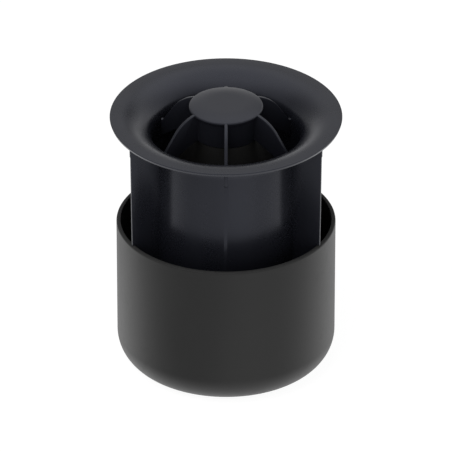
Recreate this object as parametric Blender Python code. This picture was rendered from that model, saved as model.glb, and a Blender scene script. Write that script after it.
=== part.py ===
"""Membrane odour trap. A bell-mouthed collar stands on a water cup by three fins. A six-armed hub is
snapped into its bore and carries a rubber cone that closes against the bore's wall. Metres, +Z up,
front is -Y, origin at the centre of the cup's base.
"""

import math

import bmesh
import bpy
from mathutils import Matrix

# Cup, whose width leaves room for the water round the tube
WATER_GAP = 0.0180
CUP_HEIGHT = 0.10125
CUP_WALL = 0.0024
CUP_CORNER = 0.0220
CUP_TAPER = 0.0007
CUP_RIM_EDGE = 0.0005

# Collar: flange, throat and tube of one wall, and the three fins. The land is the flange's flat ring,
# and the draft is the angle in degrees by which its edge draws in downwards, towards its seat.
BORE_DIAMETER = 0.0958
COLLAR_WALL = 0.0022
THROAT_RADIUS = 0.0197
FLANGE_LAND = 0.0074
FLANGE_EDGE = 0.0004
FLANGE_DRAFT = 20.0
COLLAR_RISE = 0.0768
TUBE_DIP = 0.0500
TUBE_END_CHAMFER = 0.0006

FIN_COUNT = 3
FIN_THICKNESS = 0.0014
FIN_TOP_OVERHANG = 0.0003
FIN_RIM_SET_BACK = 0.0009
FIN_STEP = 0.00035
FIN_STEP_HEIGHT = 0.0100
FIN_REACH = 0.0300
FIN_LEAD_IN = 0.0040

# Hub insert: cap, hollow barrel and arms. The cap is flat in the middle and falls to its edge in an
# arc of the crown's radius. The crown's slope is its angle in degrees at the edge.
BARREL_DIAMETER = 0.0436
BARREL_WALL = 0.0022
CAP_OVERHANG = 0.0022
CAP_RISE = 0.0083
CAP_THICKNESS = 0.0024
CAP_EDGE = 0.0010
CROWN_RADIUS = 0.0420
CROWN_SLOPE = 16.0
HUB_DEPTH = 0.01975

# Arms, whose top edge arches off the cap and then runs straight down to the bore, at this slope in
# degrees and over this length
ARM_THICKNESS = 0.0023
ARM_TOP_DEPTH = 0.0002
ARM_DROP = 0.0250
ARM_RUN = 0.0170
ARM_RUN_SLOPE = 56.0
ARM_TOP_BULGE = 0.0016
ARM_END_HEIGHT = 0.0115
ARM_FOOT_BULGE = 0.0010

# Snap noses on every second arm, and their windows in the tube. A nose's ramp draws back from the
# tube's face, and a window's sill is chamfered to it.
NOSE_HEIGHT = 0.0074
NOSE_DRAW_BACK = 0.0003
NOSE_RAMP = 0.0038
WINDOW_HEADROOM = 0.0022
SILL_DEPTH = 0.0009
SILL_DROP = 0.0005

# Rubber membrane and the plug that holds its neck in the barrel
NECK_WALL = 0.0017
NECK_HEIGHT = 0.0090
SHOULDER_HEIGHT = 0.0024
MEMBRANE_WALL = 0.0016
LIP_WALL = 0.0009
LIP_HEIGHT = 0.0040
CONE_ANGLE = 23.0
PLUG_WALL = 0.0018
PLUG_FLOOR = 0.0022
PLUG_RIM = 0.0030

# Clearances between pieces that seat on each other, and moulded edge rounding
SEAT_GAP = 0.0003
SLIDE_GAP = 0.0004
MOULD_EDGE = 0.0003

# Facets of a full turn and of the arcs in a section
TURN_FACETS = 72
HUB_FACETS = 48
THROAT_FACETS = 8
CORNER_FACETS = 8
ARM_FACETS = 8
EDGE_FACETS = 2
CAP_EDGE_FACETS = 3
CROWN_FACETS = 3
SHARP_ANGLE = math.radians(35)
MERGE = 1e-5

# Sizes that follow from the driving ones
BORE_RADIUS = BORE_DIAMETER / 2
TUBE_RADIUS = BORE_RADIUS + COLLAR_WALL
FLANGE_RADIUS = BORE_RADIUS + THROAT_RADIUS + FLANGE_LAND
CUP_RADIUS = TUBE_RADIUS + WATER_GAP + CUP_WALL
BARREL_RADIUS = BARREL_DIAMETER / 2
CAP_RADIUS = BARREL_RADIUS + CAP_OVERHANG
BARREL_BORE = BARREL_RADIUS - BARREL_WALL
FRONT = -math.pi / 2
ARM_COUNT = 2 * FIN_COUNT

# Levels in the collar's own frame, whose zero is the flange's top face
RIM_LEVEL = -COLLAR_RISE
TUBE_END = RIM_LEVEL - TUBE_DIP
ARM_END_LEVEL = CAP_RISE - ARM_DROP


def clear_scene():
    for old in list(bpy.data.objects):
        bpy.data.objects.remove(old, do_unlink=True)


def plastic(name, colour, roughness):
    """A plain moulded material of this colour."""
    made = bpy.data.materials.new(name)
    made.use_nodes = True
    shader = made.node_tree.nodes["Principled BSDF"]
    shader.inputs["Base Color"].default_value = (*colour, 1.0)
    shader.inputs["Roughness"].default_value = roughness
    shader.inputs["Metallic"].default_value = 0.0
    return made


def arc(centre, radius, start, end, facets):
    """Points (r, z) along a circle's arc, its angles in degrees from the +r direction."""
    points = []
    for i in range(facets + 1):
        angle = math.radians(start + (end - start) * i / facets)
        points.append((centre[0] + radius * math.cos(angle), centre[1] + radius * math.sin(angle)))
    return points


def bowed(first, last, bulge, facets):
    """Points of the arc between two points that stands this far off their chord, on its upper side
    when the chord runs outwards."""
    across = (last[0] - first[0], last[1] - first[1])
    half = math.hypot(*across) / 2
    radius = (half * half + bulge * bulge) / (2 * bulge)
    normal = (-across[1] / (2 * half), across[0] / (2 * half))
    centre = (
        (first[0] + last[0]) / 2 - normal[0] * (radius - bulge),
        (first[1] + last[1]) / 2 - normal[1] * (radius - bulge),
    )
    start = math.degrees(math.atan2(first[1] - centre[1], first[0] - centre[0]))
    sweep = math.degrees(2 * math.asin(half / radius))
    return arc(centre, radius, start, start - sweep, facets)


def new_object(name, mesh, material=None, parent=None, height=0.0):
    made = bpy.data.objects.new(name, mesh)
    bpy.context.scene.collection.objects.link(made)
    made.location = (0, 0, height)
    made.parent = parent
    if material:
        mesh.materials.append(material)
    return made


def turned(name, profile, facets, material, parent=None, height=0.0):
    """A body turned about Z from a half section. A section that starts and ends on the axis is solid
    there, and any other closes on itself as a ring."""
    mesh = bpy.data.meshes.new(name)
    edges = [(i, i + 1) for i in range(len(profile) - 1)]
    if profile[0][0] > 0:
        edges.append((len(profile) - 1, 0))
    mesh.from_pydata([(r, 0, z) for r, z in profile], edges, [])
    made = new_object(name, mesh, material, parent, height)
    screw = made.modifiers.new("turn", "SCREW")
    screw.steps = facets
    screw.render_steps = facets
    screw.use_merge_vertices = True
    screw.merge_threshold = MERGE
    return made


def helper(made):
    """Marks a body that only shapes another."""
    made.hide_render = True
    made.display_type = "WIRE"
    return made


def radial_plates(name, outline, thickness, azimuths, parent, height, edge=0.0):
    """Upright plates of one outline (r, z), each standing across the axis at its azimuth."""
    mesh = bpy.data.meshes.new(name)
    shape = bmesh.new()
    for azimuth in azimuths:
        corners = [shape.verts.new((r, -thickness / 2, z)) for r, z in outline]
        side = shape.faces.new(corners)
        grown = bmesh.ops.extrude_face_region(shape, geom=[side])["geom"]
        moved = [item for item in grown if isinstance(item, bmesh.types.BMVert)]
        bmesh.ops.translate(shape, verts=moved, vec=(0, thickness, 0))
        turn = Matrix.Rotation(azimuth, 3, "Z")
        bmesh.ops.rotate(shape, verts=corners + moved, cent=(0, 0, 0), matrix=turn)
    bmesh.ops.recalc_face_normals(shape, faces=shape.faces[:])
    shape.to_mesh(mesh)
    shape.free()
    made = helper(new_object(name, mesh, None, parent, height))
    if edge:
        bevel = made.modifiers.new("edge", "BEVEL")
        bevel.width = edge
        bevel.segments = 1
        bevel.limit_method = "ANGLE"
        bevel.angle_limit = SHARP_ANGLE
        weld = made.modifiers.new("weld", "WELD")
        weld.merge_threshold = MERGE
    return made


def combine(target, operation, tool):
    """Adds or cuts another body, kept live on the target."""
    step = target.modifiers.new(tool.name, "BOOLEAN")
    step.operation = operation
    step.object = tool


def settle(made):
    """Turns the live steps into the mesh itself and shades its round faces smooth."""
    bpy.context.view_layer.update()
    graph = bpy.context.evaluated_depsgraph_get()
    mesh = bpy.data.meshes.new_from_object(made.evaluated_get(graph))
    made.modifiers.clear()
    made.data = mesh
    mesh.name = made.name
    mesh.shade_smooth()
    mesh.set_sharp_from_angle(angle=SHARP_ANGLE)


def cup_radius(height):
    """The outer radius of the cup's wall at this height above its base."""
    share = (CUP_HEIGHT - height) / (CUP_HEIGHT - CUP_CORNER)
    return CUP_RADIUS - CUP_TAPER * share


def cup_section():
    """From the axis along the floor, up the inner wall, over the rim, down the outer wall to the axis."""
    corner_radius = cup_radius(CUP_CORNER)
    centre = (corner_radius - CUP_CORNER, CUP_CORNER)
    edge = CUP_RIM_EDGE
    inner = CUP_RADIUS - CUP_WALL
    top = CUP_HEIGHT - edge
    section = [(0, CUP_WALL)]
    section += arc(centre, CUP_CORNER - CUP_WALL, -90, 0, CORNER_FACETS)
    section += arc((inner + edge, top), edge, 180, 90, EDGE_FACETS)
    section += arc((CUP_RADIUS - edge, top), edge, 90, 0, EDGE_FACETS)
    section += arc(centre, CUP_CORNER, 0, -90, CORNER_FACETS)
    section.append((0, 0))
    return section


def collar_section():
    """Along the flange's top, round its slanted edge, under it, down the tube and up the bore."""
    centre = (BORE_RADIUS + THROAT_RADIUS, -THROAT_RADIUS)
    edge = FLANGE_EDGE
    chamfer = TUBE_END_CHAMFER
    rim = FLANGE_RADIUS - edge
    drawn_in = (COLLAR_WALL - 2 * edge) * math.tan(math.radians(FLANGE_DRAFT))
    section = arc((rim, -edge), edge, 90, -FLANGE_DRAFT, EDGE_FACETS)
    section += arc((rim - drawn_in, edge - COLLAR_WALL), edge, -FLANGE_DRAFT, -90, EDGE_FACETS)
    section += arc(centre, THROAT_RADIUS - COLLAR_WALL, 90, 180, THROAT_FACETS)
    section.append((TUBE_RADIUS, TUBE_END + chamfer))
    section.append((TUBE_RADIUS - chamfer, TUBE_END))
    section.append((BORE_RADIUS + chamfer, TUBE_END))
    section.append((BORE_RADIUS, TUBE_END + chamfer))
    section += arc(centre, THROAT_RADIUS, 180, 90, THROAT_FACETS)
    return section


def mid_wall(reach):
    """Points (r, z) along the middle of the collar's wall, from this radius in to the tube."""
    centre = (BORE_RADIUS + THROAT_RADIUS, -THROAT_RADIUS)
    radius = THROAT_RADIUS - COLLAR_WALL / 2
    if reach > centre[0]:
        return [(reach, -COLLAR_WALL / 2)] + arc(centre, radius, 90, 180, THROAT_FACETS)
    start = math.degrees(math.acos((reach - centre[0]) / radius))
    return arc(centre, radius, start, 180, THROAT_FACETS)


def fin_outline():
    """The fin from inside the tube's wall out to the cup's rim. Its top is buried in the flange, its
    shoulder stands on the rim, and its foot reaches down inside the cup."""
    buried = BORE_RADIUS + COLLAR_WALL / 2
    foot = RIM_LEVEL - FIN_REACH
    foot_radius = cup_radius(CUP_HEIGHT - FIN_REACH) - CUP_WALL - SLIDE_GAP
    shoulder = RIM_LEVEL + SEAT_GAP
    rim_radius = CUP_RADIUS - FIN_RIM_SET_BACK
    step = -FIN_STEP_HEIGHT
    top_radius = CUP_RADIUS + FIN_TOP_OVERHANG
    slope = (top_radius - rim_radius) / COLLAR_RISE
    step_radius = top_radius + slope * step
    outline = [
        (buried, foot),
        (foot_radius - FIN_LEAD_IN, foot),
        (foot_radius, foot + FIN_LEAD_IN),
        (foot_radius, shoulder),
        (rim_radius, shoulder),
        (step_radius, step - FIN_STEP),
        (step_radius + FIN_STEP, step),
    ]
    return outline + mid_wall(top_radius + FIN_STEP)


def hub_section():
    """Over the crowned cap, under its overhang, down the barrel and up its hollow. Zero is the level of
    the cap's edge. The crown's arc runs on into the edge's, which turns about its own centre."""
    edge = CAP_EDGE
    under = MOULD_EDGE
    slope = math.radians(CROWN_SLOPE)
    reach = (CROWN_RADIUS - edge) * math.sin(slope)
    rise = (CROWN_RADIUS - edge) * (1 - math.cos(slope))
    centre = (CAP_RADIUS - edge - reach, rise - CROWN_RADIUS)
    start = 90 - CROWN_SLOPE
    section = [(0, rise)]
    section += arc(centre, CROWN_RADIUS, 90, start, CROWN_FACETS)
    section += arc((CAP_RADIUS - edge, -edge), edge, start, 0, CAP_EDGE_FACETS)[1:]
    section.append((CAP_RADIUS, under - CAP_THICKNESS))
    section.append((CAP_RADIUS - under, -CAP_THICKNESS))
    section.append((BARREL_RADIUS, -CAP_THICKNESS))
    section.append((BARREL_RADIUS, under - HUB_DEPTH))
    section.append((BARREL_RADIUS - under, -HUB_DEPTH))
    section.append((BARREL_BORE, -HUB_DEPTH))
    section.append((BARREL_BORE, -CAP_THICKNESS))
    section.append((0, -CAP_THICKNESS))
    return section


def arm_outline(nosed):
    """The arm from inside the barrel's wall to the bore. A nosed one ends in a snap nose that reaches
    into its window and ramps back to a toe above the sill."""
    root = BARREL_RADIUS - BARREL_WALL / 2
    end = BORE_RADIUS - SEAT_GAP
    crown = (CAP_RADIUS - CAP_EDGE, -ARM_TOP_DEPTH)
    top = -ARM_DROP
    foot = top - ARM_END_HEIGHT
    slope = math.radians(ARM_RUN_SLOPE)
    knee = (end - ARM_RUN * math.cos(slope), top + ARM_RUN * math.sin(slope))
    outline = bowed(crown, knee, ARM_TOP_BULGE, ARM_FACETS)
    outline.append((end, top))
    if nosed:
        face = TUBE_RADIUS - SEAT_GAP
        sole = top - NOSE_HEIGHT
        outline += [
            (face, top),
            (face, sole + NOSE_RAMP),
            (face - NOSE_DRAW_BACK, sole),
            (end, sole),
        ]
    underside = bowed((BARREL_RADIUS, MOULD_EDGE - HUB_DEPTH), (end, foot), ARM_FOOT_BULGE, ARM_FACETS)
    outline += underside[::-1]
    outline.append((root, MOULD_EDGE - HUB_DEPTH))
    outline.append((root, -CAP_THICKNESS / 2))
    return outline


def window_outline():
    """A window's upright section in the collar's frame. It reaches from inside the bore out past the
    throat's curve, and the sill's chamfer runs on past the tube's face."""
    top = ARM_END_LEVEL + WINDOW_HEADROOM
    sill = ARM_END_LEVEL - NOSE_HEIGHT - SEAT_GAP
    inside = BORE_RADIUS - COLLAR_WALL
    return [
        (inside, sill),
        (TUBE_RADIUS - SILL_DEPTH, sill),
        (TUBE_RADIUS + SILL_DEPTH, sill - 2 * SILL_DROP),
        (FLANGE_RADIUS, sill - 2 * SILL_DROP),
        (FLANGE_RADIUS, top),
        (inside, top),
    ]


def membrane_section():
    """Zero is the barrel's lower edge. The neck stands in the barrel, the shoulder lies under its edge,
    and the cone runs out to a lip along the bore."""
    neck = BARREL_BORE - SEAT_GAP
    neck_bore = neck - NECK_WALL
    lip = BORE_RADIUS - SEAT_GAP
    spread = math.tan(math.radians(CONE_ANGLE))
    top = -SEAT_GAP
    shoulder = top - SHOULDER_HEIGHT
    lip_top = top - (lip - BARREL_RADIUS) / spread
    lip_end = lip_top - LIP_HEIGHT
    across = MEMBRANE_WALL / math.cos(math.radians(CONE_ANGLE))
    shoulder_bore = BARREL_RADIUS + (top - shoulder) * spread - across
    return [
        (neck, NECK_HEIGHT),
        (neck, top),
        (BARREL_RADIUS, top),
        (lip, lip_top),
        (lip, lip_end),
        (lip - LIP_WALL, lip_end),
        (lip - LIP_WALL, lip_top - LIP_WALL),
        (shoulder_bore, shoulder),
        (neck_bore, shoulder),
        (neck_bore, NECK_HEIGHT),
    ]


def plug_section():
    """Zero is the barrel's lower edge. A hollow plug, open upwards, whose rim lies under the neck."""
    wall = BARREL_BORE - SEAT_GAP - NECK_WALL - SEAT_GAP
    rim = wall + PLUG_RIM
    rim_top = -SEAT_GAP - SHOULDER_HEIGHT - SEAT_GAP
    floor = rim_top - PLUG_FLOOR
    edge = MOULD_EDGE
    return [
        (0, rim_top),
        (wall - PLUG_WALL, rim_top),
        (wall - PLUG_WALL, NECK_HEIGHT),
        (wall - edge, NECK_HEIGHT),
        (wall, NECK_HEIGHT - edge),
        (wall, rim_top),
        (rim - edge, rim_top),
        (rim, rim_top - edge),
        (rim, floor + edge),
        (rim - edge, floor),
        (0, floor),
    ]


def nosed_azimuths():
    """Every second arm, starting at the front, is snapped into a window."""
    return [FRONT + 2 * math.pi * i / ARM_COUNT for i in range(0, ARM_COUNT, 2)]


def plain_azimuths():
    """The arms between them, in line with the fins."""
    return [FRONT + 2 * math.pi * i / ARM_COUNT for i in range(1, ARM_COUNT, 2)]


def build_cup(material):
    settle(turned("cup", cup_section(), TURN_FACETS, material))


def build_collar(material, insert):
    collar = turned("collar", collar_section(), TURN_FACETS, material, insert, COLLAR_RISE)
    fins = radial_plates(
        "fins", fin_outline(), FIN_THICKNESS, plain_azimuths(), insert, COLLAR_RISE, MOULD_EDGE
    )
    window_width = ARM_THICKNESS + 2 * SEAT_GAP
    windows = radial_plates(
        "windows", window_outline(), window_width, nosed_azimuths(), insert, COLLAR_RISE
    )
    combine(collar, "UNION", fins)
    combine(collar, "DIFFERENCE", windows)
    settle(collar)


def build_hub(material, insert):
    level = COLLAR_RISE + CAP_RISE
    hub = turned("hub_insert", hub_section(), HUB_FACETS, material, insert, level)
    for name, nosed, azimuths in (
        ("nosed_arms", True, nosed_azimuths()),
        ("plain_arms", False, plain_azimuths()),
    ):
        arms = radial_plates(
            name, arm_outline(nosed), ARM_THICKNESS, azimuths, insert, level, MOULD_EDGE
        )
        combine(hub, "UNION", arms)
    settle(hub)


def build_membrane(rubber, material, insert):
    level = COLLAR_RISE + CAP_RISE - HUB_DEPTH
    settle(turned("membrane", membrane_section(), TURN_FACETS, rubber, insert, level))
    settle(turned("membrane_plug", plug_section(), HUB_FACETS, material, insert, level))


def main():
    clear_scene()
    black = plastic("cup_black", (0.031, 0.031, 0.031), 0.5)
    slate = plastic("collar_slate", (0.052, 0.054, 0.064), 0.35)
    rubber = plastic("membrane_rubber", (0.035, 0.034, 0.032), 0.7)
    build_cup(black)
    insert = bpy.data.objects.new("insert_lift", None)
    insert.location = (0, 0, CUP_HEIGHT)
    bpy.context.scene.collection.objects.link(insert)
    build_collar(slate, insert)
    build_hub(slate, insert)
    build_membrane(rubber, slate, insert)


main()
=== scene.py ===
"""Looks of a membrane odour trap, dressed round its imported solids.

The trap stands on its water cup. A bell-mouthed collar stands on the cup's rim by three fins, a hub
with six arched arms is snapped into its bore, and a rubber cone hangs under the hub. Every solid is
modelled again here with its fine roundings and gets the finish of its moulding.
"""

import logging
import math
from dataclasses import dataclass, replace
from enum import Enum
from typing import Any, Sequence

import bmesh
import bpy
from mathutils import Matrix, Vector


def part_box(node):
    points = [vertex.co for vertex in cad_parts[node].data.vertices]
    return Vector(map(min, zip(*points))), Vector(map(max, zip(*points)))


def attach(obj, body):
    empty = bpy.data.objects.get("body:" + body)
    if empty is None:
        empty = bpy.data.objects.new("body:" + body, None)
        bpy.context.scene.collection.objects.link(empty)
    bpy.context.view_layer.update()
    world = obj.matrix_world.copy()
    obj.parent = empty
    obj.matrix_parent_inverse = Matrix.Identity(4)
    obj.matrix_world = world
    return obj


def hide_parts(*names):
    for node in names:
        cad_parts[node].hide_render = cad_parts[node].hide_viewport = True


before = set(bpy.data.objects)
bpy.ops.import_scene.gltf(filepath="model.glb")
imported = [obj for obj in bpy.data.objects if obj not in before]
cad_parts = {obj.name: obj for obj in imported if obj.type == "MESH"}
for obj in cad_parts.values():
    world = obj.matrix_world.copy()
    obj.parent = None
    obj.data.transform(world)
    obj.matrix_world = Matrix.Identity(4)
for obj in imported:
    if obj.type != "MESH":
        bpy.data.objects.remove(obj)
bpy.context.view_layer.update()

LOG = logging.getLogger("odour_trap")

Point = tuple[float, float]
Colour = tuple[float, float, float]
Way = tuple[float, float, float]

UP: Way = (0, 0, 1)

# Widest error of a chord against its arc, facets of a full turn, strips across a rounded edge,
# distance at which points merge, side of the plane that shrinks to an outline's first point, and
# angle from which an edge is sharp
CHORD_ERROR = 0.000005
TURN_FACETS = 192
HUB_FACETS = 144
EDGE_STRIPS = 3
MERGE = 0.000001
STARTER = 0.0003
SHARP_ANGLE = math.radians(32)

# How far the cup, the flange and the cup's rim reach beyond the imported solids
CUP_GROWTH = 0.00027
FLANGE_GROWTH = 0.0002
RIM_GROWTH = 0.0004

# Height over which a face turns as rough as a trimmed edge and takes its paler painted sheen
EDGE_BAND = 0.0004

# Clearances of pieces that seat on each other
SEAT_GAP = 0.0003
SLIDE_GAP = 0.0004

# Wall of flange, throat and tube, which a snap nose reaches through
TUBE_WALL = 0.0022


class Body(Enum):
    """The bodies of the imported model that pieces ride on."""

    CUP = "cup"
    INSERT = "insert"


class Cut(Enum):
    """What a Boolean step does with its tool."""

    ADD = "UNION"
    TAKE = "DIFFERENCE"


@dataclass(frozen=True)
class Corner:
    """A corner of an outline in the half plane of radius and height, rounded by its fillet."""

    r: float
    z: float
    fillet: float = 0.0


def facets_of(radius: float, sweep: float) -> int:
    """Counts the chords that follow an arc closely enough.

    Args:
        radius: The arc's radius in metres.
        sweep: Its angle in radians.

    Returns:
        The number of chords, at least two.
    """
    if radius <= CHORD_ERROR:
        return 2
    step = 2 * math.acos(1 - CHORD_ERROR / radius)
    return max(2, math.ceil(abs(sweep) / step))


def arc(centre: Point, radius: float, start: float, end: float) -> list[Point]:
    """Lists points along a circle's arc.

    Args:
        centre: The circle's centre (r, z).
        radius: Its radius.
        start: First angle in radians from the +r direction.
        end: Last angle in radians.

    Returns:
        The points from start to end.
    """
    count = facets_of(radius, end - start)
    angles = [start + (end - start) * i / count for i in range(count + 1)]
    return [(centre[0] + radius * math.cos(a), centre[1] + radius * math.sin(a)) for a in angles]


def bowed(first: Point, last: Point, bulge: float) -> list[Point]:
    """Lists points of an arc that stands off its chord, above it when the chord runs outwards.

    Args:
        first: Where the arc starts.
        last: Where it ends.
        bulge: How far its middle stands off the chord.

    Returns:
        The points from first to last.
    """
    across = Vector((last[0] - first[0], last[1] - first[1]))
    half = across.length / 2
    radius = (half * half + bulge * bulge) / (2 * bulge)
    normal = Vector((-across.y, across.x)).normalized()
    centre = (Vector(first) + Vector(last)) / 2 - normal * (radius - bulge)
    start = math.atan2(first[1] - centre.y, first[0] - centre.x)
    return arc((centre.x, centre.y), radius, start, start - 2 * math.asin(half / radius))


def rounded(corners: Sequence[Corner], closed: bool) -> list[Point]:
    """Turns corners into an outline with an arc in place of each corner that has a fillet.

    Args:
        corners: The corners in order.
        closed: Whether the last corner joins the first.

    Returns:
        The outline's points.
    """
    points: list[Point] = []
    for i, corner in enumerate(corners):
        inner = closed or 0 < i < len(corners) - 1
        if not corner.fillet or not inner:
            points.append((corner.r, corner.z))
            continue
        here = Vector((corner.r, corner.z))
        before, after = corners[i - 1], corners[(i + 1) % len(corners)]
        back = (Vector((before.r, before.z)) - here).normalized()
        ahead = (Vector((after.r, after.z)) - here).normalized()
        half = back.angle(ahead) / 2
        centre = here + (back + ahead).normalized() * corner.fillet / math.sin(half)
        leave = here + back * corner.fillet / math.tan(half) - centre
        start = math.atan2(leave.y, leave.x)
        sweep = math.pi - 2 * half
        turn = -1 if back.x * ahead.y - back.y * ahead.x > 0 else 1
        points += arc((centre.x, centre.y), corner.fillet, start, start + turn * sweep)
    return points


class Bench:
    """Modelling steps as done by hand, each on freshly made or named objects."""

    @staticmethod
    def clear() -> None:
        """Leaves object mode's selection empty."""
        bpy.ops.object.select_all(action="DESELECT")

    @staticmethod
    def pick(made: bpy.types.Object) -> None:
        """Selects one object alone and makes it the active one."""
        Bench.clear()
        made.select_set(True)
        bpy.context.view_layer.objects.active = made

    @staticmethod
    def strand(
        name: str, outline: Sequence[Point], closed: bool, y: float = 0.0
    ) -> bpy.types.Object:
        """Draws an outline in the upright plane through the axis, point after point.

        Args:
            name: The new object's name.
            outline: The points (r, z).
            closed: Whether the last point joins the first.
            y: How far the plane stands off the axis.

        Returns:
            The object, left in edit mode with its chain of edges selected.
        """
        Bench.clear()
        start = outline[0]
        bpy.ops.mesh.primitive_plane_add(size=STARTER, location=(start[0], y, start[1]))
        made = bpy.context.object
        made.name = name
        made.data.name = name
        bpy.ops.object.transform_apply(location=True, rotation=False, scale=False)
        bpy.ops.object.mode_set(mode="EDIT")
        bpy.ops.mesh.select_all(action="SELECT")
        bpy.ops.mesh.merge(type="CENTER")
        for before, after in zip(outline, outline[1:]):
            step = (after[0] - before[0], 0, after[1] - before[1])
            bpy.ops.mesh.extrude_vertices_move(TRANSFORM_OT_translate={"value": step})
        if closed:
            shape = bmesh.from_edit_mesh(made.data)
            shape.verts.ensure_lookup_table()
            bpy.ops.mesh.select_all(action="DESELECT")
            shape.verts[0].select = True
            shape.verts[-1].select = True
            bmesh.update_edit_mesh(made.data)
            bpy.ops.mesh.edge_face_add()
        bpy.ops.mesh.select_all(action="SELECT")
        return made

    @staticmethod
    def turned(name: str, section: Sequence[Point], facets: int) -> bpy.types.Object:
        """Spins a half section round the trap's axis into a closed body.

        Args:
            name: The new object's name.
            section: The points (r, z), from axis to axis or closed on itself as a ring.
            facets: The steps of the full turn.

        Returns:
            The body in object mode.
        """
        made = Bench.strand(name, section, closed=section[0][0] > 0)
        bpy.ops.mesh.spin(steps=facets, angle=math.tau, center=(0, 0, 0), axis=(0, 0, 1))
        bpy.ops.mesh.select_all(action="SELECT")
        bpy.ops.mesh.remove_doubles(threshold=MERGE)
        bpy.ops.mesh.normals_make_consistent(inside=False)
        bpy.ops.object.mode_set(mode="OBJECT")
        return made

    @staticmethod
    def plate(
        name: str, outline: Sequence[Point], thickness: float, edge: float
    ) -> bpy.types.Object:
        """Fills an outline and thickens it into a radial plate with rounded edges.

        Args:
            name: The new object's name.
            outline: The points (r, z) of the plate's side.
            thickness: Its thickness across the radial plane.
            edge: The rounding of its edges, or 0.

        Returns:
            The plate at azimuth 0, in object mode.
        """
        made = Bench.strand(name, outline, closed=True, y=-thickness / 2)
        bpy.ops.mesh.edge_face_add()
        bpy.ops.mesh.extrude_region_move(TRANSFORM_OT_translate={"value": (0, thickness, 0)})
        bpy.ops.mesh.select_all(action="SELECT")
        bpy.ops.mesh.normals_make_consistent(inside=False)
        bpy.ops.object.mode_set(mode="OBJECT")
        if edge:
            Bench.soften(made, edge)
        return made

    @staticmethod
    def soften(made: bpy.types.Object, width: float) -> None:
        """Rounds an object's sharp edges with a Bevel that is applied.

        Args:
            made: The object.
            width: The width of each rounding in metres.
        """
        Bench.pick(made)
        step = made.modifiers.new("soften", "BEVEL")
        step.width = width
        step.segments = EDGE_STRIPS
        step.limit_method = "ANGLE"
        step.angle_limit = SHARP_ANGLE
        step.harden_normals = False
        bpy.ops.object.modifier_apply(modifier=step.name)

    @staticmethod
    def ring_of(made: bpy.types.Object, azimuths: Sequence[float]) -> bpy.types.Object:
        """Copies a plate to each azimuth and joins the copies into one object.

        Args:
            made: The plate at azimuth 0, which is used up.
            azimuths: The angles in radians.

        Returns:
            The joined object, its place in its mesh.
        """
        copies = []
        for azimuth in azimuths:
            copy = made.copy()
            copy.data = made.data.copy()
            bpy.context.scene.collection.objects.link(copy)
            copy.rotation_euler.z = azimuth
            copies.append(copy)
        bpy.data.objects.remove(made, do_unlink=True)
        Bench.clear()
        for copy in copies:
            copy.select_set(True)
        bpy.context.view_layer.objects.active = copies[0]
        bpy.ops.object.transform_apply(location=False, rotation=True, scale=False)
        bpy.ops.object.join()
        return copies[0]

    @staticmethod
    def combine(made: bpy.types.Object, cut: Cut, tool: bpy.types.Object) -> None:
        """Adds a tool to a body or takes it away, and uses the tool up.

        Args:
            made: The body.
            cut: Whether the tool is added or taken away.
            tool: The object that does it.
        """
        Bench.pick(made)
        step = made.modifiers.new("combine", "BOOLEAN")
        step.operation = cut.value
        step.object = tool
        bpy.ops.object.modifier_apply(modifier=step.name)
        bpy.data.objects.remove(tool, do_unlink=True)

    @staticmethod
    def shade(made: bpy.types.Object) -> None:
        """Shades round faces smooth and keeps sharp edges sharp."""
        Bench.pick(made)
        bpy.ops.object.shade_smooth_by_angle(angle=SHARP_ANGLE)


# Numbers of the Mix node's colour sockets, which share their names with its other sockets
MIX_SHARE = 0
MIX_FIRST = 6
MIX_SECOND = 7
MIX_COLOUR = 2


class Value:
    """A node's output, on which sums are written as Python expressions."""

    def __init__(self, graph: "Graph", socket: bpy.types.NodeSocket) -> None:
        """Wraps a socket of a graph."""
        self.graph = graph
        self.socket = socket

    def __add__(self, other: Any) -> "Value":
        """Adds a value or a number."""
        return self.graph.sum_of("ADD", self, other)

    def __sub__(self, other: Any) -> "Value":
        """Takes a value or a number away."""
        return self.graph.sum_of("SUBTRACT", self, other)

    def __rsub__(self, other: Any) -> "Value":
        """Takes this value away from a number."""
        return self.graph.sum_of("SUBTRACT", other, self)

    def __mul__(self, other: Any) -> "Value":
        """Multiplies by a value or a number."""
        return self.graph.sum_of("MULTIPLY", self, other)

    __radd__ = __add__
    __rmul__ = __mul__


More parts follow.
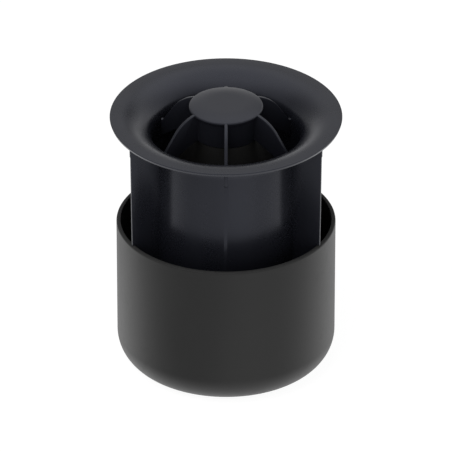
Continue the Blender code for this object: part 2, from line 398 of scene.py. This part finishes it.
class Graph:
    """The nodes of one material or world."""

    def __init__(self, owner: bpy.types.Material | bpy.types.World) -> None:
        """Opens the node tree of a material or world."""
        owner.use_nodes = True
        self.tree = owner.node_tree

    def node(
        self,
        kind: str,
        settings: dict[str, Any],
        sockets: dict[int | str, Any],
        out: int | str = 0,
    ) -> Value:
        """Makes a node.

        Args:
            kind: The node's type.
            settings: Its properties, set before its sockets.
            sockets: Its inputs by name or number, each a value or a link.
            out: The output to wrap.

        Returns:
            The chosen output.
        """
        made = self.tree.nodes.new(kind)
        for name, setting in settings.items():
            setattr(made, name, setting)
        for name, given in sockets.items():
            self.feed(made.inputs[name], given)
        return Value(self, made.outputs[out])

    def feed(self, socket: bpy.types.NodeSocket, given: Any) -> None:
        """Links a value to a socket, or sets the socket to a constant.

        Args:
            socket: The input.
            given: A value or a constant.
        """
        if isinstance(given, Value):
            self.tree.links.new(given.socket, socket)
        else:
            socket.default_value = given

    def sum_of(self, operation: str, first: Any, second: Any) -> Value:
        """Works one step of a sum on numbers that change over the surface."""
        return self.node("ShaderNodeMath", {"operation": operation}, {0: first, 1: second})

    def place(self) -> Value:
        """Gives the place on the piece in metres."""
        return self.node("ShaderNodeTexCoord", {}, {}, "Object")

    def stretched(self, place: Value, stretch: Way) -> Value:
        """Scales a place along X, Y and Z before a pattern reads it."""
        return self.node("ShaderNodeVectorMath", {"operation": "MULTIPLY"}, {0: place, 1: stretch})

    def noise(self, place: Value, size: float, detail: float) -> Value:
        """Gives cloudy noise from 0 to 1.

        Args:
            place: Where it is read.
            size: The clouds' size in metres.
            detail: How many finer layers it has.

        Returns:
            The noise.
        """
        sockets = {"Vector": place, "Scale": 1 / size, "Detail": detail}
        return self.node("ShaderNodeTexNoise", {}, sockets, "Fac")

    def step(self, value: Value, low: float, high: float) -> Value:
        """Rises smoothly from 0 at low to 1 at high."""
        sockets = {"Value": value, "From Min": low, "From Max": high}
        return self.node("ShaderNodeMapRange", {"interpolation_type": "SMOOTHSTEP"}, sockets)

    def blend(self, share: Any, first: Any, second: Any) -> Value:
        """Mixes two colours, from the first at 0 to the second at 1."""
        sockets = {MIX_SHARE: share, MIX_FIRST: first, MIX_SECOND: second}
        return self.node("ShaderNodeMix", {"data_type": "RGBA"}, sockets, MIX_COLOUR)

    def rays(self, *kinds: str) -> Value:
        """Tells rays of some kinds from all others.

        Args:
            kinds: The kinds, named as Light Path names them.

        Returns:
            1 for a ray of any of these kinds, and else 0.
        """
        found = [self.node("ShaderNodeLightPath", {}, {}, kind) for kind in kinds]
        either = found[0]
        for other in found[1:]:
            either = self.sum_of("MAXIMUM", either, other)
        return either

    def facing(self, way: Value, towards: Way) -> Value:
        """Gives a direction's cosine to a fixed one, or how far a place lies along that one."""
        settings = {"operation": "DOT_PRODUCT"}
        return self.node("ShaderNodeVectorMath", settings, {0: way, 1: towards}, "Value")

    def bump(self, height: Value, depth: float) -> Value:
        """Turns a height from 0 to 1 into a normal, its full height being depth in metres."""
        sockets = {"Height": height, "Distance": depth, "Strength": 1.0}
        return self.node("ShaderNodeBump", {}, sockets)


@dataclass(frozen=True)
class Layer:
    """A layer of noise in a finish, its size being a multiple of one of the finish's own lengths.

    Its band holds the noise levels between which it rises from 0 to 1.
    """

    size: float
    detail: float
    band: Point | None = None

    def read(self, graph: Graph, place: Value, length: float) -> Value:
        """Reads the layer.

        Args:
            graph: The material's nodes.
            place: Where it is read.
            length: The finish's length that the size multiplies.

        Returns:
            The layer's level, from 0 to 1.
        """
        noise = graph.noise(place, length * self.size, self.detail)
        return graph.step(noise, *self.band) if self.band else noise


# Layers of a moulding. The marks of the melt's flow, drawn out along the axis, and the rubbed
# patches are sized by its flow. The grain, its coarse waves and the specks are sized by its grain.
FLOW_STRETCH: Way = (1.0, 1.0, 0.35)
FLOW_MARKS = Layer(size=1.0, detail=3.0, band=(0.34, 0.66))
RUBBED = Layer(size=0.25, detail=6.0, band=(0.56, 0.72))
GRAIN = Layer(size=1.0, detail=2.0)
COARSE = Layer(size=6.0, detail=3.0)
SPECKS = Layer(size=2.2, detail=1.0, band=(0.70, 0.78))

# How far the layers change the colour, the roughness and the grain's height
FLOW_TONE = 0.6
COARSE_TONE = 0.3
COARSE_SPREAD = 0.06
RUBBED_SPREAD = 0.035
GRAIN_HEIGHT = 0.75
MIDDLE = 0.5


@dataclass(frozen=True)
class Moulding:
    """The finish of a moulded piece: a base colour with faint flow marks and a fine mould grain.

    Flow and grain are the lengths of these marks in metres. The tint colours the gloss. Above the
    level set for the rim, in metres, the face is as rough as a trimmed edge, and its colour is
    painted paler: a painted sheen.
    """

    name: str
    slot: str
    colour: Colour
    pale: Colour
    roughness: float
    index: float
    grain: float
    grain_depth: float
    flow: float
    flow_spread: float = 0.04
    speck_share: float = 0.0
    tint: Colour = (1.0, 1.0, 1.0)
    dull_and_sheen_above: float = 1.0
    dull_roughness: float = 0.0
    painted_sheen_colour: Colour = (0.0, 0.0, 0.0)

    def material(self) -> bpy.types.Material:
        """Builds the finish.

        Returns:
            The material, its pattern read from the piece's own place in metres.
        """
        made = bpy.data.materials.new(self.name)
        graph = Graph(made)
        shader = graph.tree.nodes["Principled BSDF"]
        place = graph.place()
        flow = FLOW_MARKS.read(graph, graph.stretched(place, FLOW_STRETCH), self.flow)
        rubbed = RUBBED.read(graph, place, self.flow)
        grain = GRAIN.read(graph, place, self.grain)
        coarse = COARSE.read(graph, place, self.grain)
        specks = SPECKS.read(graph, place, self.grain) * self.speck_share
        tone = flow * FLOW_TONE + coarse * COARSE_TONE + specks
        colour = graph.blend(tone, (*self.colour, 1.0), (*self.pale, 1.0))
        spread = (flow - MIDDLE) * self.flow_spread + (coarse - MIDDLE) * COARSE_SPREAD
        roughness = spread + rubbed * RUBBED_SPREAD + self.roughness
        # Above the level set for the rim the face turns as rough as a trimmed edge, and its colour
        # turns paler, a painted sheen
        level = graph.facing(place, UP)
        dull_and_sheen = graph.step(level, self.dull_and_sheen_above, self.dull_and_sheen_above + EDGE_BAND)
        roughness = roughness + dull_and_sheen * (self.dull_roughness - self.roughness)
        colour = graph.blend(dull_and_sheen, colour, (*self.painted_sheen_colour, 1.0))
        height = grain * GRAIN_HEIGHT + coarse * (1 - GRAIN_HEIGHT)
        graph.feed(shader.inputs["Base Color"], colour)
        graph.feed(shader.inputs["Roughness"], roughness)
        graph.feed(shader.inputs["IOR"], self.index)
        graph.feed(shader.inputs["Specular Tint"], (*self.tint, 1.0))
        graph.feed(shader.inputs["Normal"], graph.bump(height, self.grain_depth))
        return made


SLATE = Moulding(
    name="slate_satin",
    slot="collar_slate",
    colour=(0.0090, 0.0096, 0.0132),
    pale=(0.0112, 0.0118, 0.0160),
    roughness=0.28,
    index=1.50,
    tint=(0.82, 0.85, 1.0),
    grain=0.00028,
    grain_depth=0.0000045,
    flow=0.032,
)
HUB_SLATE = replace(SLATE, name="slate_soft", roughness=0.36)
BLACK = Moulding(
    name="black_matt",
    slot="cup_black",
    colour=(0.0055, 0.0055, 0.0055),
    pale=(0.0090, 0.0090, 0.0088),
    roughness=0.42,
    index=1.50,
    grain=0.00042,
    grain_depth=0.0000075,
    flow=0.045,
    speck_share=0.25,
    # Rim top: rougher as a trimmed edge, and painted paler, a painted sheen on the rim
    dull_and_sheen_above=0.1010,
    dull_roughness=0.92,
    painted_sheen_colour=(0.025, 0.025, 0.025),
)
RUBBER = Moulding(
    name="black_rubber",
    slot="membrane_rubber",
    colour=(0.0016, 0.0015, 0.0014),
    pale=(0.0034, 0.0033, 0.0030),
    roughness=0.58,
    index=1.33,
    grain=0.00050,
    grain_depth=0.0000100,
    flow=0.012,
    flow_spread=0.10,
    speck_share=0.35,
)


class Trap:
    """Levels and radii that the pieces share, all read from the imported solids."""

    def __init__(self) -> None:
        """Reads the boxes of the solids that set the shared sizes."""
        self.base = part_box("cup")[0].z
        self.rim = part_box("cup")[1].z + RIM_GROWTH
        self.cup_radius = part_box("cup")[1].x + CUP_GROWTH
        self.tube_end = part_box("collar")[0].z
        self.flange_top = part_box("collar")[1].z
        self.flange_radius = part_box("collar")[1].x + FLANGE_GROWTH
        self.crown_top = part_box("hub_insert")[1].z
        self.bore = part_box("membrane")[1].x + SEAT_GAP
        self.lip_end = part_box("membrane")[0].z
        self.neck_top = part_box("membrane")[1].z
        self.plug_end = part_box("membrane_plug")[0].z


@dataclass
class Piece:
    """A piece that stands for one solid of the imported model."""

    trap: Trap
    node: str
    body: Body
    finish: Moulding

    def model(self) -> bpy.types.Object:
        """Models the piece; each kind of piece has its own way."""
        raise NotImplementedError

    def build(self) -> None:
        """Models the piece, dresses it and sets it on its body."""
        made = self.model()
        Bench.shade(made)
        made.data.materials.clear()
        made.data.materials.append(self.finish.material())
        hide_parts(self.node)
        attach(made, self.body.value)
        LOG.info("%s: %d faces in %s", made.name, len(made.data.polygons), self.finish.name)


@dataclass
class Cup(Piece):
    """The water cup: a tapered wall that runs into its floor with a large corner."""

    node: str = "cup"
    body: Body = Body.CUP
    finish: Moulding = BLACK
    wall: float = 0.0027
    corner: float = 0.0216
    taper: float = 0.0007
    rim_edge: float = 0.0004
    rim_rounding: float = 0.0013

    def radius_at(self, height: float) -> float:
        """Gives the wall's outer radius at a height above the base."""
        tall = self.trap.rim - self.trap.base
        return self.trap.cup_radius - self.taper * (tall - height) / (tall - self.corner)

    def model(self) -> bpy.types.Object:
        """Spins the cup's section from the axis along the floor, over the rim and back.

        Returns:
            The cup.
        """
        rim, base = self.trap.rim, self.trap.base
        outer, foot = self.trap.cup_radius, self.radius_at(0)
        section = rounded(
            [
                Corner(0, base + self.wall),
                Corner(foot - self.wall, base + self.wall, self.corner - self.wall),
                Corner(outer - self.wall, rim, self.rim_edge),
                Corner(outer, rim, self.rim_rounding),
                Corner(foot, base, self.corner),
                Corner(0, base),
            ],
            closed=False,
        )
        return Bench.turned("cup_shell", section, TURN_FACETS)


@dataclass
class Collar(Piece):
    """Flange, throat and tube of one wall, with three fins below and three snap windows.

    The throat is the bell's plain radius, which the outer face and the fins' tops follow. The
    bell's arcs give the inner face from the flange down, each by the face's slope in degrees at its
    lower end and by its radius.
    """

    node: str = "collar"
    body: Body = Body.INSERT
    finish: Moulding = SLATE
    wall: float = TUBE_WALL
    throat: float = 0.0197
    bell_arcs: tuple[Point, ...] = ((66.0, 0.0212), (45.0, 0.0300), (0.0, 0.0117))
    flange_edge: float = 0.0004
    flange_draft: float = math.radians(20)
    tube_edge: float = 0.0006
    fin_thickness: float = 0.0012
    fin_edge: float = 0.0002
    fin_overhang: float = 0.0007
    fin_set_back: float = 0.0008
    fin_step: float = 0.00035
    fin_step_height: float = 0.0100
    fin_reach: float = 0.0300
    fin_lead_in: float = 0.0040
    window_headroom: float = 0.0022
    window_width: float = 0.00230
    sill_depth: float = 0.0001
    sill_drop: float = 0.0002

    def bell(self) -> list[Point]:
        """Lists the bell mouth's curve, whose arcs meet without a kink.

        Returns:
            The points (r, z) from the bore up to the flange.
        """
        points = [(0.0, self.trap.flange_top)]
        slope = math.pi / 2
        for end_degrees, radius in self.bell_arcs:
            end = math.radians(end_degrees)
            start = points[-1]
            centre = (start[0] + radius * math.cos(slope), start[1] - radius * math.sin(slope))
            points += arc(centre, radius, math.pi - slope, math.pi - end)[1:]
            slope = end
        shift = self.trap.bore - points[-1][0]
        return [(r + shift, z) for r, z in reversed(points)]

    def section(self) -> list[Point]:
        """Lists the wall's half section, with a flange edge that slants by its draft.

        Returns:
            The points (r, z) from the flange's edge down the tube's outside and up the bore.
        """
        top, end = self.trap.flange_top, self.trap.tube_end
        bore, slant = self.trap.bore, math.tan(self.flange_draft)
        rounding = self.flange_edge * (slant + 1 / math.cos(self.flange_draft) - 1)
        rim = self.trap.flange_radius + rounding
        return rounded(
            [
                Corner(rim, top, self.flange_edge),
                Corner(rim - self.wall * slant, top - self.wall, self.flange_edge),
                Corner(bore + self.wall, top - self.wall, self.throat - self.wall),
                Corner(bore + self.wall, end, self.tube_edge),
                Corner(bore, end, self.tube_edge),
                *[Corner(r, z) for r, z in self.bell()],
            ],
            closed=True,
        )

    def mid_wall(self, reach: float) -> list[Point]:
        """Lists points along the middle of the wall, so that a fin's top ends inside it.

        Args:
            reach: The radius at which the points start.

        Returns:
            The points (r, z) from there in to the tube.
        """
        top = self.trap.flange_top
        centre = (self.trap.bore + self.throat, top - self.throat)
        radius = self.throat - self.wall / 2
        return [(reach, top - self.wall / 2)] + arc(centre, radius, math.pi / 2, math.pi)

    def fin_outline(self, cup: Cup) -> list[Point]:
        """Lists a fin's outline, its top buried in the flange and its foot inside the cup.

        Args:
            cup: The cup that the fin's shoulder stands on.

        Returns:
            The points (r, z).
        """
        rim = self.trap.rim
        foot = rim - self.fin_reach
        foot_radius = cup.radius_at(foot) - cup.wall - SLIDE_GAP
        rim_radius = self.trap.cup_radius - self.fin_set_back
        top_radius = self.trap.cup_radius + self.fin_overhang
        step = self.trap.flange_top - self.fin_step_height
        slope = (top_radius - rim_radius) / (self.trap.flange_top - rim)
        step_radius = top_radius - slope * self.fin_step_height
        outline = [
            (self.trap.bore + self.wall / 2, foot),
            (foot_radius - self.fin_lead_in, foot),
            (foot_radius, foot + self.fin_lead_in),
            (foot_radius, rim + SEAT_GAP),
            (rim_radius, rim + SEAT_GAP),
            (step_radius, step - self.fin_step),
            (step_radius + self.fin_step, step),
        ]
        return outline + self.mid_wall(top_radius + self.fin_step)

    def window_outline(self, hub: "Hub") -> list[Point]:
        """Lists a window's upright section, its sill chamfered down to the tube's outer face.

        Args:
            hub: The hub whose noses snap into the windows.

        Returns:
            The points (r, z).
        """
        top = hub.arm_top + self.window_headroom
        sill = hub.arm_top - hub.nose_height - hub.nose_gap
        low = sill - 2 * self.sill_drop
        inside, face = self.trap.bore - self.wall, self.trap.bore + self.wall
        outside = self.trap.cup_radius
        lip = [(inside, sill), (face - self.sill_depth, sill), (face + self.sill_depth, low)]
        return [*lip, (outside, low), (outside, top), (inside, top)]

    def model(self) -> bpy.types.Object:
        """Spins the wall, adds the fins and cuts the windows.

        Returns:
            The collar.
        """
        cup = Cup(self.trap)
        hub = Hub(self.trap)
        made = Bench.turned("collar_moulding", self.section(), TURN_FACETS)
        fin = Bench.plate("fin", self.fin_outline(cup), self.fin_thickness, self.fin_edge)
        Bench.combine(made, Cut.ADD, Bench.ring_of(fin, hub.plain_azimuths()))
        window = Bench.plate("window", self.window_outline(hub), self.window_width, 0)
        Bench.combine(made, Cut.TAKE, Bench.ring_of(window, hub.nosed_azimuths()))
        return made


@dataclass
class Hub(Piece):
    """Cap, hollow barrel and six arched arms, every second one ending in a snap nose."""

    node: str = "hub_insert"
    body: Body = Body.INSERT
    finish: Moulding = HUB_SLATE
    cap_radius: float = 0.0240
    cap_thickness: float = 0.0024
    cap_edge: float = 0.0010
    crown_radius: float = 0.0420
    crown_slope: float = math.radians(16)
    under_edge: float = 0.0003
    cap_under_edge: float = 0.0011
    barrel_radius: float = 0.0218
    barrel_wall: float = 0.0022
    depth: float = 0.01975
    arm_count: int = 6
    arm_thickness: float = 0.0023
    arm_edge: float = 0.0005
    arm_top_depth: float = 0.0002
    arm_drop: float = 0.0250
    arm_run: float = 0.0170
    arm_run_slope: float = math.radians(56)
    arm_bulge: float = 0.0016
    arm_end_height: float = 0.0115
    arm_foot_bulge: float = 0.0010
    nose_height: float = 0.0074
    nose_rise: float = 0.0014
    nose_thickness: float = 0.0022
    nose_edge: float = 0.0001
    nose_gap: float = 0.00002
    nose_lead: float = 0.0003
    nose_ramp: float = 0.0013

    @property
    def cap_top(self) -> float:
        """The level of the cap's edge, under its crown."""
        fall = (self.crown_radius - self.cap_edge) * (1 - math.cos(self.crown_slope))
        return self.trap.crown_top - fall

    @property
    def arm_top(self) -> float:
        """The level where an arm's top edge meets the bore."""
        return self.cap_top - self.arm_drop

    @property
    def bottom(self) -> float:
        """The level of the barrel's lower edge."""
        return self.cap_top - self.depth

    @property
    def barrel_bore(self) -> float:
        """The inner radius of the barrel."""
        return self.barrel_radius - self.barrel_wall

    def azimuths(self, first: int) -> list[float]:
        """Lists the angles of every second arm, counted from the front one."""
        turn = math.tau / self.arm_count
        return [turn * i - math.pi / 2 for i in range(first, self.arm_count, 2)]

    def nosed_azimuths(self) -> list[float]:
        """Lists the angles of the arms that snap into windows."""
        return self.azimuths(0)

    def plain_azimuths(self) -> list[float]:
        """Lists the angles of the arms between them, in line with the fins."""
        return self.azimuths(1)

    def section(self) -> list[Point]:
        """Lists the half section over the crowned cap, down the barrel and up its hollow.

        Returns:
            The points (r, z) from the axis round to the axis.
        """
        crown_top, under = self.trap.crown_top, self.cap_top - self.cap_thickness
        edge_foot = (self.cap_radius - self.cap_edge, self.cap_top - self.cap_edge)
        flat = edge_foot[0] - (self.crown_radius - self.cap_edge) * math.sin(self.crown_slope)
        start = math.pi / 2 - self.crown_slope
        crown = arc((flat, crown_top - self.crown_radius), self.crown_radius, math.pi / 2, start)
        return [(0, crown_top)] + crown + arc(edge_foot, self.cap_edge, start, 0)[1:] + rounded(
            [
                Corner(self.cap_radius, self.cap_top - self.cap_edge),
                Corner(self.cap_radius, under, self.cap_under_edge),
                Corner(self.barrel_radius, under, self.under_edge),
                Corner(self.barrel_radius, self.bottom, self.under_edge),
                Corner(self.barrel_bore, self.bottom, self.under_edge),
                Corner(self.barrel_bore, under, self.under_edge),
                Corner(0, under),
            ],
            closed=False,
        )[1:]

    def nose_outline(self) -> list[Point]:
        """Lists a snap nose's outline, from inside its arm's end out to the tube's face.

        Returns:
            The points (r, z).
        """
        face = self.trap.bore + TUBE_WALL - self.nose_gap
        root = self.trap.bore - self.arm_thickness
        top, sole = self.arm_top + self.nose_rise, self.arm_top - self.nose_height
        ramp = [(face, top), (face, sole + self.nose_ramp), (face - self.nose_lead, sole)]
        return [(root, self.arm_top - self.arm_edge), (self.trap.bore, top), *ramp, (root, sole)]

    def arm_outline(self) -> list[Point]:
        """Lists an arm's outline from inside the barrel's wall to the bore.

        Returns:
            The points (r, z).
        """
        root = self.barrel_radius - self.barrel_wall / 2
        end = self.trap.bore - SEAT_GAP
        crown = (self.cap_radius - self.cap_edge, self.cap_top - self.arm_top_depth)
        run = Vector((-math.cos(self.arm_run_slope), math.sin(self.arm_run_slope))) * self.arm_run
        outline = bowed(crown, (end + run.x, self.arm_top + run.y), self.arm_bulge)
        outline.append((end, self.arm_top))
        foot = (end, self.arm_top - self.arm_end_height)
        heel = (self.barrel_radius, self.bottom + self.under_edge)
        outline += bowed(heel, foot, self.arm_foot_bulge)[::-1]
        outline.append((root, self.bottom + self.under_edge))
        outline.append((root, self.cap_top - self.cap_thickness / 2))
        return outline

    def model(self) -> bpy.types.Object:
        """Spins cap and barrel and adds the arms and their snap noses.

        Returns:
            The hub insert.
        """
        made = Bench.turned("hub_moulding", self.section(), HUB_FACETS)
        arm = Bench.plate("arm", self.arm_outline(), self.arm_thickness, self.arm_edge)
        azimuths = self.nosed_azimuths() + self.plain_azimuths()
        Bench.combine(made, Cut.ADD, Bench.ring_of(arm, azimuths))
        nose = Bench.plate("nose", self.nose_outline(), self.nose_thickness, self.nose_edge)
        Bench.combine(made, Cut.ADD, Bench.ring_of(nose, self.nosed_azimuths()))
        return made


@dataclass
class Membrane(Piece):
    """The rubber cone: neck in the barrel, shoulder under its edge and lip along the bore."""

    node: str = "membrane"
    body: Body = Body.INSERT
    finish: Moulding = RUBBER
    neck_wall: float = 0.0017
    shoulder: float = 0.0024
    wall: float = 0.0016
    lip_wall: float = 0.0009
    lip_height: float = 0.0040
    cone_angle: float = math.radians(23)
    edge: float = 0.0003
    lip_rounding: float = 0.0012

    def model(self) -> bpy.types.Object:
        """Spins the rubber's section.

        Returns:
            The membrane.
        """
        hub = Hub(self.trap)
        neck = hub.barrel_bore - SEAT_GAP
        neck_bore = neck - self.neck_wall
        lip = self.trap.bore - SEAT_GAP
        spread = math.tan(self.cone_angle)
        top = hub.bottom - SEAT_GAP
        low = top - self.shoulder
        lip_end = self.trap.lip_end
        lip_top = lip_end + self.lip_height
        across = self.wall / math.cos(self.cone_angle)
        shoulder_bore = hub.barrel_radius + self.shoulder * spread - across
        section = rounded(
            [
                Corner(neck, self.trap.neck_top, self.edge),
                Corner(neck, top, self.edge),
                Corner(hub.barrel_radius, top, self.edge),
                Corner(lip, lip_top, self.lip_rounding),
                Corner(lip, lip_end, self.edge),
                Corner(lip - self.lip_wall, lip_end, self.edge),
                Corner(lip - self.lip_wall, lip_top - self.lip_wall, self.edge),
                Corner(shoulder_bore, low, self.edge),
                Corner(neck_bore, low, self.edge),
                Corner(neck_bore, self.trap.neck_top, self.edge),
            ],
            closed=True,
        )
        return Bench.turned("membrane_cone", section, TURN_FACETS)


@dataclass
class Plug(Piece):
    """The hollow plug that holds the rubber's neck, open upwards, with a rim below."""

    node: str = "membrane_plug"
    body: Body = Body.INSERT
    finish: Moulding = SLATE
    wall: float = 0.0018
    floor: float = 0.0022
    rim: float = 0.0030
    edge: float = 0.0004
    inner_edge: float = 0.0002

    def model(self) -> bpy.types.Object:
        """Spins the plug's section.

        Returns:
            The plug.
        """
        hub = Hub(self.trap)
        rubber = Membrane(self.trap)
        outer = hub.barrel_bore - SEAT_GAP - rubber.neck_wall - SEAT_GAP
        end, top = self.trap.plug_end, self.trap.neck_top
        ledge = end + self.floor
        section = rounded(
            [
                Corner(0, ledge),
                Corner(outer - self.wall, ledge, self.edge),
                Corner(outer - self.wall, top, self.edge),
                Corner(outer, top, self.edge),
                Corner(outer, ledge, self.inner_edge),
                Corner(outer + self.rim, ledge, self.edge),
                Corner(outer + self.rim, end, self.edge),
                Corner(0, end),
            ],
            closed=False,
        )
        return Bench.turned("plug_moulding", section, HUB_FACETS)


@dataclass(frozen=True)
class Panel:
    """A soft patch of the surroundings that a gloss shows brighter or darker than the rest.

    Its azimuth and elevation are degrees, the azimuth counted from the front to the right. It fades
    from its core's radius to its rim's, and its gain is added at the core.
    """

    azimuth: float
    elevation: float
    core: float
    rim: float
    gain: float

    def way(self) -> Way:
        """Gives the direction of the patch's middle."""
        turn, rise = math.radians(self.azimuth), math.radians(self.elevation)
        level = math.cos(rise)
        return (level * math.sin(turn), -level * math.cos(turn), math.sin(rise))

    def shine(self, graph: Graph, way: Value) -> Value:
        """Gives what the patch adds in a direction."""
        near, far = math.cos(math.radians(self.core)), math.cos(math.radians(self.rim))
        return graph.step(graph.facing(way, self.way()), far, near) * self.gain


PANELS = (
    Panel(azimuth=180, elevation=78, core=14, rim=52, gain=0.74),
    Panel(azimuth=62, elevation=-30, core=6, rim=24, gain=-0.13),
    Panel(azimuth=-62, elevation=-30, core=6, rim=24, gain=-0.13),
    Panel(azimuth=125, elevation=28, core=10, rim=45, gain=0.27),
    Panel(azimuth=-120, elevation=15, core=8, rim=42, gain=-0.20),
    Panel(azimuth=160, elevation=24, core=2, rim=15, gain=-0.42),
    Panel(azimuth=163, elevation=9, core=4, rim=15, gain=0.18),
    Panel(azimuth=-163, elevation=9, core=4, rim=15, gain=0.22),
    Panel(azimuth=180, elevation=8, core=5, rim=22, gain=0.10),
    Panel(azimuth=0, elevation=-90, core=10, rim=60, gain=0.30),
    Panel(azimuth=-36, elevation=-30, core=10, rim=44, gain=-0.22),
    Panel(azimuth=122, elevation=-32, core=8, rim=31, gain=0.48),
    Panel(azimuth=-122, elevation=-32, core=8, rim=31, gain=0.48),
)


@dataclass
class Studio:
    """Pale floor, white surroundings, soft lamps and the camera.

    The ambient light has one strength from the horizon down, one half way up and one overhead,
    and a gloss shows a lower and an upper strength. The bands hold the sines of the elevations
    between which these strengths change.
    """

    elevation: float = math.radians(30)
    pixel: float = 0.0006456
    pixels: int = 452
    aim_height: float = 0.0962
    distance: float = 2.0
    floor_size: float = 12.0
    floor_white: float = 0.94
    floor_share: float = 0.80
    floor_glow: float = 1.17
    ambient: float = 0.24
    ambient_middle: float = 0.62
    ambient_top: float = 0.10
    middle_band: Point = (0.0, 0.35)
    top_band: Point = (0.6, 0.9)
    lower_gloss: float = 0.76
    upper_gloss: float = 0.475
    gloss_band: Point = (-0.3, 0.5)
    key_place: Way = (-0.5, -0.7, 1.5)
    key_size: float = 1.2
    key_power: float = 12.0
    fill_place: Way = (0.2, -1.3, 0.27)
    fill_size: float = 0.6
    fill_power: float = 2.5
    clip_near: float = 0.01
    clip_far: float = 10.0

    def floor(self) -> None:
        """Lays the floor, which is white to the camera and keeps the trap's shadow."""
        Bench.clear()
        bpy.ops.mesh.primitive_plane_add(size=self.floor_size, location=(0, 0, 0))
        made = bpy.context.object
        made.name = "floor"
        paint = bpy.data.materials.new("floor_white")
        graph = Graph(paint)
        graph.tree.nodes.remove(graph.tree.nodes["Principled BSDF"])
        white = (self.floor_white, self.floor_white, self.floor_white, 1.0)
        matt = graph.node("ShaderNodeBsdfDiffuse", {}, {"Color": white})
        glow = graph.node("ShaderNodeEmission", {}, {"Strength": self.floor_glow})
        share = graph.rays("Is Camera Ray", "Is Transmission Ray") * self.floor_share
        mixed = graph.node("ShaderNodeMixShader", {}, {0: share, 1: matt, 2: glow})
        graph.feed(graph.tree.nodes["Material Output"].inputs["Surface"], mixed)
        made.data.materials.append(paint)
        made.visible_glossy = False

    def world(self) -> None:
        """Makes surroundings that are white to the camera, a studio in a gloss, and else plain."""
        made = bpy.data.worlds.new("surroundings")
        bpy.context.scene.world = made
        graph = Graph(made)
        way = graph.node("ShaderNodeTexCoord", {}, {}, "Generated")
        height = graph.facing(way, UP)
        upper = graph.step(height, *self.gloss_band)
        gloss = upper * (self.upper_gloss - self.lower_gloss) + self.lower_gloss
        for panel in PANELS:
            gloss = gloss + panel.shine(graph, way)
        seen = graph.rays("Is Camera Ray", "Is Transmission Ray")
        shine = graph.rays("Is Glossy Ray")
        raised = graph.step(height, *self.middle_band)
        overhead = graph.step(height, *self.top_band)
        ambient = raised * (self.ambient_middle - self.ambient) + self.ambient
        ambient = ambient + overhead * (self.ambient_top - self.ambient_middle)
        strength = seen + shine * gloss + (1 - seen - shine) * ambient
        graph.feed(graph.tree.nodes["Background"].inputs["Color"], (1, 1, 1, 1))
        graph.feed(graph.tree.nodes["Background"].inputs["Strength"], strength)

    def lamp(self, name: str, place: Way, size: float, power: float) -> None:
        """Hangs a soft square lamp that looks at the trap's middle.

        Args:
            name: The lamp's name.
            place: Where it hangs.
            size: Its side in metres.
            power: Its power in watts.
        """
        light = bpy.data.lights.new(name, "AREA")
        light.size = size
        light.energy = power
        made = bpy.data.objects.new(name, light)
        made.location = place
        aim = Vector((0, 0, self.aim_height)) - Vector(place)
        made.rotation_euler = aim.to_track_quat("-Z", "Y").to_euler()
        made.visible_glossy = False
        bpy.context.scene.collection.objects.link(made)

    def camera(self) -> None:
        """Sets a parallel camera at the photograph's angle and scale."""
        lens = bpy.data.cameras.new("camera")
        lens.type = "ORTHO"
        lens.ortho_scale = self.pixel * self.pixels
        lens.clip_start = self.clip_near
        lens.clip_end = self.clip_far
        made = bpy.data.objects.new("camera", lens)
        back = Vector((0, -math.cos(self.elevation), math.sin(self.elevation)))
        made.location = Vector((0, 0, self.aim_height)) + back * self.distance
        made.rotation_euler = (-back).to_track_quat("-Z", "Y").to_euler()
        bpy.context.scene.collection.objects.link(made)
        bpy.context.scene.camera = made

    def build(self) -> None:
        """Sets up the floor, the light and the camera."""
        bpy.context.scene.view_settings.view_transform = "Standard"
        self.floor()
        self.world()
        self.lamp("key", self.key_place, self.key_size, self.key_power)
        self.lamp("fill", self.fill_place, self.fill_size, self.fill_power)
        self.camera()
        LOG.info("studio: floor, surroundings, two lamps and the camera")


def main() -> None:
    """Builds the pieces from the cup up, then the studio round them."""
    logging.basicConfig(level=logging.INFO, format="%(name)s: %(message)s")
    trap = Trap()
    for kind in (Cup, Collar, Hub, Membrane, Plug):
        kind(trap).build()
    Studio().build()


if __name__ == "__main__":
    main()
